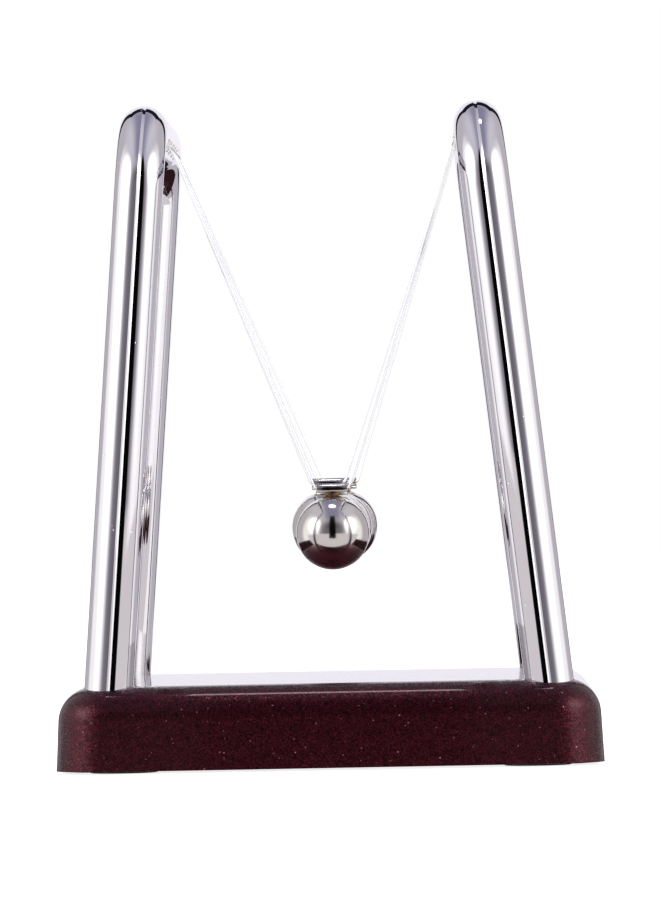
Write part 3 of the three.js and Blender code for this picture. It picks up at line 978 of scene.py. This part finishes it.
# An upright sheet that faces the middle, at an angle from the camera's side
def standSheet(name, piece, angle, material):
    way = Vector((math.sin(math.radians(angle)), -math.cos(math.radians(angle)), 0))
    height = piece["size"][1] / 2 - piece.get("sunk", 0)
    place = way * piece["away"] + Vector((0, 0, height))
    makeSheet(name, piece["size"], place, place - way, material)


# A level sheet just under the floor that only shows in reflections
def layBoard(name, piece, material):
    place = Vector((0, piece["middle"], studio["boardHeight"]))
    board = makeSheet(name, piece["size"], place, place + Vector((0, 0, 1)), material)
    board.visible_diffuse = False
    board.visible_shadow = False


def makeStudio():
    panels = studio["panels"]
    for side, sign in (("left", -1), ("right", 1)):
        name = f"{side}Panel"
        standSheet(name, panels, panels[side], makeClothGlow(name, sign))
    strip = studio["strip"]
    place = Vector((0, strip["back"], strip["height"]))
    glow = makeGlow("topStrip", "#ffffff", strip["power"])
    makeSheet("topStrip", strip["size"], place, place - Vector((0, 0, 1)), glow)
    for name, look, colour in (("card", "backCard", "#faf6ff"), ("surround", "darkSurround", "#1c1a22")):
        piece = studio[name]
        standSheet(name, piece, piece["angle"], makeGlow(look, colour, piece["power"]))
    standSheet("slit", studio["slit"], studio["slit"]["angle"], makeSlitGlow())
    for name, look, colour in (("board", "darkBoard", "#2c1a1d"), ("foreground", "foreground", "#f6f0f0")):
        piece = studio[name]
        layBoard(name, piece, makeGlow(look, colour, piece["power"]))


# Matt white acrylic, lit a little from within so that it stays white, with a faint unevenness
def makeFloor():
    material, tree, place = startMaterial("whiteAcrylicTable")
    cloud = addNode(tree, "ShaderNodeTexNoise",
                    {"Vector": place, "Scale": cellScale(studio["floor"]["cloud"]), "Detail": 3.0})
    colour = addNode(tree, "ShaderNodeMix", {
        0: cloud.outputs[0], 6: hexColour("#f4f4f4"), 7: hexColour("#f8f8f8"),
    }, data_type="RGBA")
    shader = addNode(tree, "ShaderNodeBsdfPrincipled", {
        "Base Color": colour.outputs[2], "Roughness": 0.85, "Emission Color": (1, 1, 1, 1),
        "Emission Strength": 0.85,
    })
    endMaterial(tree, shader)
    deselectAll()
    bpy.ops.mesh.primitive_plane_add(size=studio["floor"]["size"] * mm, location=(0, 0, 0))
    floor = bpy.context.object
    floor.name = "floor"
    floor.data.materials.append(material)
    floor.visible_glossy = False


# Pale surroundings: white to the eye and through the lines, and grey in reflections, darker towards
# the front and along the middle of the ceiling
def makeWorld():
    world = bpy.data.worlds.new("paleStudio")
    bpy.context.scene.world = world
    world.use_nodes = True
    tree = world.node_tree
    tree.nodes.clear()
    way = addNode(tree, "ShaderNodeTexCoord").outputs["Generated"]
    axes = addNode(tree, "ShaderNodeSeparateXYZ", {"Vector": way}).outputs
    aside = addNode(tree, "ShaderNodeMath", {0: axes["X"]}, operation="ABSOLUTE").outputs[0]
    share = {}
    for name, value in (("front", axes["Y"]), ("dark", axes["Z"]), ("aside", aside),
                        ("ceiling", axes["Z"])):
        start, end = studio["world"][name]
        share[name] = addNode(tree, "ShaderNodeMapRange", {
            "Value": value, "From Min": start, "From Max": end,
        }, interpolation_type="SMOOTHERSTEP").outputs[0]
    dark = addNode(tree, "ShaderNodeMix", {
        0: share["dark"], 6: hexColour("#736f76"), 7: hexColour("#3a383e"),
    }, data_type="RGBA")
    walls = addNode(tree, "ShaderNodeMix", {
        0: share["front"], 6: hexColour("#c4bfc4"), 7: dark.outputs[2],
    }, data_type="RGBA")
    ceiling = addNode(tree, "ShaderNodeMix", {
        0: share["aside"], 6: hexColour("#8f8da4"), 7: hexColour("#d6d3da"),
    }, data_type="RGBA")
    around = addNode(tree, "ShaderNodeMix", {
        0: share["ceiling"], 6: walls.outputs[2], 7: ceiling.outputs[2],
    }, data_type="RGBA")
    path = addNode(tree, "ShaderNodeLightPath").outputs
    seen = addNode(tree, "ShaderNodeMath",
                   {0: path["Is Camera Ray"], 1: path["Is Transmission Ray"]}, operation="MAXIMUM")
    colour = addNode(tree, "ShaderNodeMix", {
        0: seen.outputs[0], 6: around.outputs[2], 7: (1, 1, 1, 1),
    }, data_type="RGBA")
    shader = addNode(tree, "ShaderNodeBackground", {"Color": colour.outputs[2], "Strength": 1.0})
    addNode(tree, "ShaderNodeOutputWorld", {"Surface": shader.outputs[0]})


makeStudio()
makeFloor()
makeWorld()
bpy.context.scene.view_settings.view_transform = "Standard"
print("studio made")
